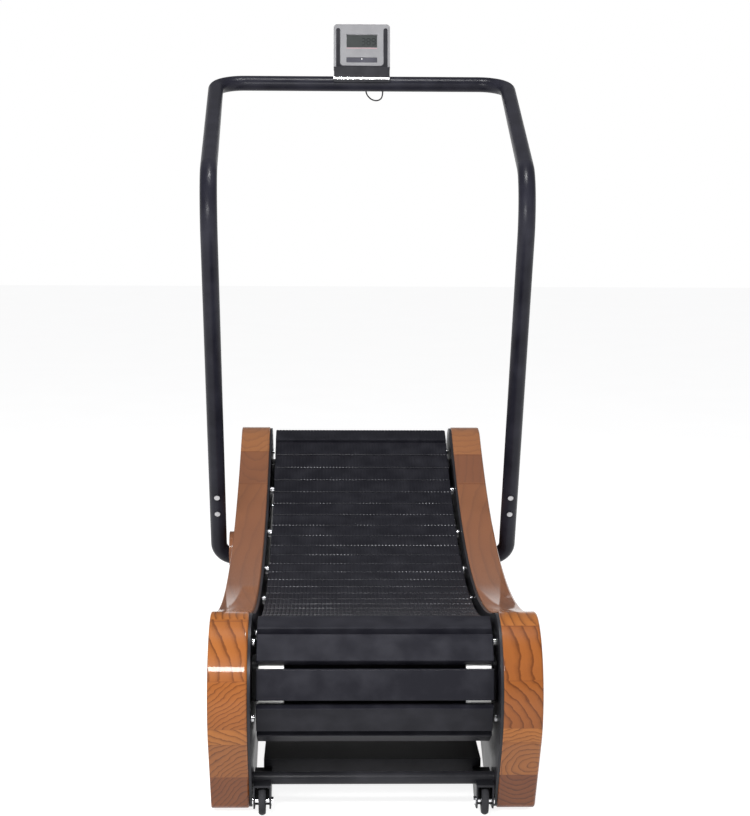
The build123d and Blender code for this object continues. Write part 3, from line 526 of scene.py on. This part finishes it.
def mirrored_path(half):
    """A path from a right half, continued on the left; the half starts on the middle line."""
    return [(-across, up) for across, up in reversed(half)] + half


slot_end = arc((SLOT_INNER + SLOT_OUTER) / 2, SLOT_TOP, (SLOT_OUTER - SLOT_INNER) / 2, 180, 0)
panel_edge = arc(SLOT_INNER - PANEL_CORNER, PANEL_FOOT + PANEL_CORNER, PANEL_CORNER, -90, 0)
surround = mirrored_path(panel_edge + slot_end + [(SLOT_OUTER, STRIP_FOOT), (SURROUND_HALF, STRIP_FOOT)])
low_corner = arc(SURROUND_HALF - SURROUND_CORNER, SURROUND_FOOT + SURROUND_CORNER, SURROUND_CORNER, 0, -90)
surround += low_corner + [(-across, up) for across, up in reversed(low_corner)]
mesh = bmesh.new()
add_plate(mesh, surround, FACE_FRONT, PRINT)
piece("console_slots", mesh, console_black, "console", "console_black")

mesh = bmesh.new()
rim = mirrored_path(panel_edge + [(SLOT_INNER, SLOT_TOP)])
add_plate(mesh, ribbon(rim, PANEL_RIM), FACE_FRONT, 2 * PRINT)
for side in (-1, 1):
    outer = [(side * SLOT_OUTER, STRIP_FOOT), (side * SLOT_OUTER, SLOT_TOP)]
    add_plate(mesh, ribbon(outer, STRIP_RIM), FACE_FRONT, 2 * PRINT)
add_plate(mesh, box_outline(*DISPLAY_BEVEL), FACE_FRONT, PRINT)
piece("console_panel_rim", mesh, polished, "console", "console_silver")

mesh = bmesh.new()
for side in (-1, 1):
    middle = side * (SLOT_INNER + SLOT_OUTER) / 2
    line = box_outline(middle - SLOT_LINE_HALF, middle + SLOT_LINE_HALF, *SLOT_LINE_ENDS)
    add_plate(mesh, line, FACE_FRONT + PRINT, PRINT)
piece("console_slot_lines", mesh, block_paint, "console", "console_black")

mesh = bmesh.new()
add_plate(mesh, box_outline(*DISPLAY_UNDERLINE), FACE_FRONT, PRINT)
piece("display_underline", mesh, rose_line, "console", "console_silver")

mesh = bmesh.new()
add_plate(mesh, BUTTON_MARK, BUTTON_FRONT, PRINT)
piece("button_mark", mesh, belt_white, "button", "button_black")

# Seven bars of a digit: start and end in half digit widths across and half heights up.
BARS = {
    "top": ((-1, 1), (1, 1)), "middle": ((-1, 0), (1, 0)), "foot": ((-1, -1), (1, -1)),
    "high_left": ((-1, 0), (-1, 1)), "high_right": ((1, 0), (1, 1)),
    "low_left": ((-1, -1), (-1, 0)), "low_right": ((1, -1), (1, 0)),
}
# Each digit: its middle across the face, and the bars that show.
DIGITS = (
    (0.004, ("top", "middle", "foot", "high_right", "low_right")),
    (0.017, ("top", "middle", "foot", "high_left", "high_right", "low_left", "low_right")),
    (0.030, ("top", "middle", "foot", "high_left", "high_right", "low_right")),
)
DIGIT_HALF = (0.0040, 0.0085)
DIGIT_UP = 0.0700
BAR_WIDTH = 0.0016
BAR_GAP = 0.0009
mesh = bmesh.new()
for across, bars in DIGITS:
    for bar in bars:
        first, last = [Vector((across + end[0] * DIGIT_HALF[0], DIGIT_UP + end[1] * DIGIT_HALF[1]))
                       for end in BARS[bar]]
        gap = (last - first).normalized() * BAR_GAP
        ends = [tuple(first + gap), tuple(last - gap)]
        add_plate(mesh, ribbon(ends, BAR_WIDTH), DISPLAY_FRONT, PRINT / 2)
piece("display_digits", mesh, digit_grey, "console", "display")


# ---------------------------------------------------------------- slats
# The belt's route: arcs about these centres (forward, up), between these angles in degrees.
REAR_AXIS = (-0.72695, 0.253)
FRONT_AXIS = (0.75005, 0.406)
RUN_CENTRE = (-0.190170, 2.276825)
RETURN_CENTRE = (-0.351799, 3.837120)
RUN_NEUTRAL = 1.9975            # radius of the tread run at the belt's neutral line
RETURN_RADIUS = 3.700
ROLLER_RADIUS = 0.0963
REAR_TOP = 75.1454
FRONT_TOP = 116.6827
REAR_LOW = -95.9754
FRONT_LOW = -72.1964
SLAT_COUNT = 60
SLAT_START = 0.3                # centre of the first slat, in slat pitches past the rear roller's top
SLAT_HALF = 0.217               # half the slat's length across the deck
SLAT_TOP = 0.0565               # width of a slat's section at its tread
SLAT_FOOT = 0.0570              # and where it meets the belt
SLAT_LOW = 0.0032               # heights of its foot and tread over the neutral line
SLAT_RISE = 0.0175
SLAT_SHIFT = 0.0004             # how far a slat may sit to one side
RIB_STEP = 0.0080
RIB_SHARE = 0.62                # share of a step that stands as a rib
RIB_DEPTH = 0.0006
RIB_SLOPE = 0.0006              # width of a rib's sloping side
GLINT_SHARE = 0.31               # share of a step that carries the painted glints
EDGE_CUT = 0.0013               # chamfer along a slat's long edges

# Centre, radius, first angle, last angle, and 1 where the belt's outside faces away from the centre.
STRETCHES = (
    (RUN_CENTRE, RUN_NEUTRAL, REAR_TOP - 180, FRONT_TOP - 180, -1),
    (FRONT_AXIS, ROLLER_RADIUS, FRONT_TOP, FRONT_LOW, 1),
    (RETURN_CENTRE, RETURN_RADIUS, FRONT_LOW, REAR_LOW, 1),
    (REAR_AXIS, ROLLER_RADIUS, REAR_LOW, REAR_TOP - 360, 1),
)


def stretch_length(stretch):
    """Length of one arc of the belt's route."""
    return abs(math.radians(stretch[3] - stretch[2])) * stretch[1]


BELT_LENGTH = sum(stretch_length(stretch) for stretch in STRETCHES)
SLAT_PITCH = BELT_LENGTH / SLAT_COUNT


def belt_frame(travel):
    """Middle of the belt, its direction and its outward normal at a distance along it."""
    for stretch in STRETCHES:
        length = stretch_length(stretch)
        if travel < length or stretch is STRETCHES[-1]:
            break
        travel -= length
    centre, radius, first, last, outward = stretch
    angle = math.radians(first + (last - first) * travel / length)
    spot = Vector((0, centre[0] + radius * math.cos(angle), centre[1] + radius * math.sin(angle)))
    out = Vector((0, outward * math.cos(angle), outward * math.sin(angle)))
    along = Vector((0, out.z, -out.y))
    return spot, along, out


def rib_stations():
    """Places across the deck, each with the depth of the tread there."""
    stations = [(-SLAT_HALF, EDGE_CUT), (-SLAT_HALF + EDGE_CUT, 0.0)]
    count = int(2 * SLAT_HALF / RIB_STEP)
    start = -count * RIB_STEP / 2
    for number in range(count):
        groove = start + (number + RIB_SHARE) * RIB_STEP
        end = start + (number + 1) * RIB_STEP
        stations += [(groove - RIB_SLOPE, 0.0), (groove, RIB_DEPTH)]
        stations += [(end - RIB_SLOPE, RIB_DEPTH), (end, 0.0)]
    stations += [(SLAT_HALF - EDGE_CUT, 0.0), (SLAT_HALF, EDGE_CUT)]
    return [s for s in stations if abs(s[0]) <= SLAT_HALF]


RIBS = rib_stations()
slat_edge = glint_painted_edge("slat_edge", RIB_STEP, GLINT_SHARE)
EDGE_FACES = (2, 4)             # the two chamfers in a slat's section


def add_slat(mesh, number, ribbed, rng):
    """One slat: a moulded bar with a chamfered tread, ribbed from front to back."""
    spot, along, out = belt_frame((number + SLAT_START) * SLAT_PITCH)
    shift = rng.uniform(-SLAT_SHIFT, SLAT_SHIFT)
    top, foot = SLAT_TOP / 2, SLAT_FOOT / 2
    loops = []
    for across, depth in RIBS:
        rise = SLAT_RISE - (depth if ribbed or abs(across) == SLAT_HALF else 0.0)
        section = (
            (-foot, SLAT_LOW),
            (foot, SLAT_LOW),
            (top, rise - EDGE_CUT),
            (top - EDGE_CUT, rise),
            (EDGE_CUT - top, rise),
            (-top, rise - EDGE_CUT),
        )
        base = spot + Vector((across + shift, 0, 0))
        loops.append([mesh.verts.new(base + along * a + out * h) for a, h in section])
    for before, after in zip(loops, loops[1:]):
        for first in range(6):
            second = (first + 1) % 6
            face = mesh.faces.new((before[first], before[second], after[second], after[first]))
            face.material_index = 1 if first in EDGE_FACES else 0
    mesh.faces.new(loops[0])
    mesh.faces.new(loops[-1][::-1])


rng = random.Random(7)
for name, first, last in (
    ("running_slats", 0, 24),
    ("front_turn_slats", 24, 29),
    ("return_slats", 29, 55),
    ("rear_turn_slats", 55, 60),
):
    mesh = bmesh.new()
    for number in range(first, last):
        add_slat(mesh, number, name != "rear_turn_slats", rng)
    slats = piece("ribbed_" + name, mesh, slat_black, "root", "slat_rubber")
    slats.data.materials.append(slat_edge if name == "running_slats" else slat_black)
    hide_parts(name)


# ---------------------------------------------------------------- sensor cable
CROSSBAR_Y = 0.83305
CROSSBAR_Z = 1.408
CABLE_POINTS = (
    (0.010, 0.024, 0.004),
    (0.010, 0.024, -0.012),
    (0.014, 0.021, -0.028),
    (0.026, 0.012, -0.040),
    (0.042, 0.004, -0.043),
    (0.054, 0.000, -0.034),
    (0.054, 0.000, -0.019),
)
CABLE_THICK = 0.0035

curve = bpy.data.curves.new("cable_line", "CURVE")
curve.dimensions = "3D"
curve.resolution_u = 24
curve.bevel_depth = CABLE_THICK / 2
curve.bevel_resolution = 6
line = curve.splines.new("NURBS")
line.points.add(len(CABLE_POINTS) - 1)
for point, (x, y, z) in zip(line.points, CABLE_POINTS):
    point.co = (x, CROSSBAR_Y + y, CROSSBAR_Z + z, 1)
line.order_u = 3
line.use_endpoint_u = True
curve.materials.append(cable_black)
cable = bpy.data.objects.new("thin_sensor_cable", curve)
bpy.context.scene.collection.objects.link(cable)
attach(cable, "root")
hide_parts("sensor_cable")


# ---------------------------------------------------------------- stage and lights
SKY_BRIGHT = (1.0, 1.0, 1.0, 1.0)
SKY_DIM = (0.20, 0.20, 0.21, 1.0)
SKY_BRIGHT_TO = 0.10            # height on a unit sphere where the bright band ends
SKY_DIM_FROM = 0.26
FLOOR_HALF = 15.0

world = bpy.data.worlds.new("studio")
bpy.context.scene.world = world
world.use_nodes = True
sky = world.node_tree
# White round the horizon, dim overhead like a dark studio ceiling.
toward = sky.nodes.new("ShaderNodeSeparateXYZ")
sky.links.new(sky.nodes.new("ShaderNodeTexCoord").outputs["Generated"], toward.inputs[0])
high = sky.nodes.new("ShaderNodeMapRange")
high.inputs["From Min"].default_value = SKY_BRIGHT_TO
high.inputs["From Max"].default_value = SKY_DIM_FROM
sky.links.new(toward.outputs["Z"], high.inputs["Value"])
shade = sky.nodes.new("ShaderNodeMix")
shade.data_type = "RGBA"
shade.inputs[6].default_value = SKY_BRIGHT
shade.inputs[7].default_value = SKY_DIM
sky.links.new(high.outputs["Result"], shade.inputs[0])
sky.links.new(shade.outputs[2], sky.nodes["Background"].inputs["Color"])

floor_mesh = bmesh.new()
bmesh.ops.create_grid(floor_mesh, x_segments=1, y_segments=1, size=FLOOR_HALF)
floor_data = bpy.data.meshes.new("floor")
floor_mesh.to_mesh(floor_data)
floor_mesh.free()
floor = bpy.data.objects.new("floor", floor_data)
bpy.context.scene.collection.objects.link(floor)
floor_paint = Graph("floor_paint", Roughness=0.9, Specular_IOR_Level=0.0, Emission_Color=(1, 1, 1, 1),
                    Emission_Strength=0.88)
floor_paint.drive("Base Color", floor_paint.ramp(
    floor_paint.noise(3.0, detail=2.0), (0.3, (0.30, 0.30, 0.30)), (0.7, (0.33, 0.33, 0.33))))
floor_data.materials.append(floor_paint.material)


def soft_light(name, place, target, size, power, mirrored=True):
    """A rectangular soft light at a place, facing a target; one not mirrored leaves no glints."""
    data = bpy.data.lights.new(name, "AREA")
    data.shape = "RECTANGLE"
    data.size, data.size_y = size
    data.energy = power
    light = bpy.data.objects.new(name, data)
    light.location = place
    light.rotation_euler = (Vector(target) - Vector(place)).to_track_quat("-Z", "Y").to_euler()
    light.visible_glossy = mirrored
    bpy.context.scene.collection.objects.link(light)


soft_light("key_light", (-2.0, -3.4, 3.4), (0, 0, 0.4), (2.0, 2.0), 135.0, mirrored=False)
soft_light("fill_light", (2.6, -2.8, 2.2), (0, 0, 0.4), (2.0, 2.0), 80.0, mirrored=False)
# Its mirror image is the bright band across the rear end of the left panel.
soft_light("strip_light", (-0.70, -2.20, 1.56), (-0.27, -0.86, 0.30), (1.1, 0.24), 50.0)
soft_light("top_light", (0.03, -0.1, 3.6), (0.03, -0.1, 0.3), (0.66, 0.35), 55.0)
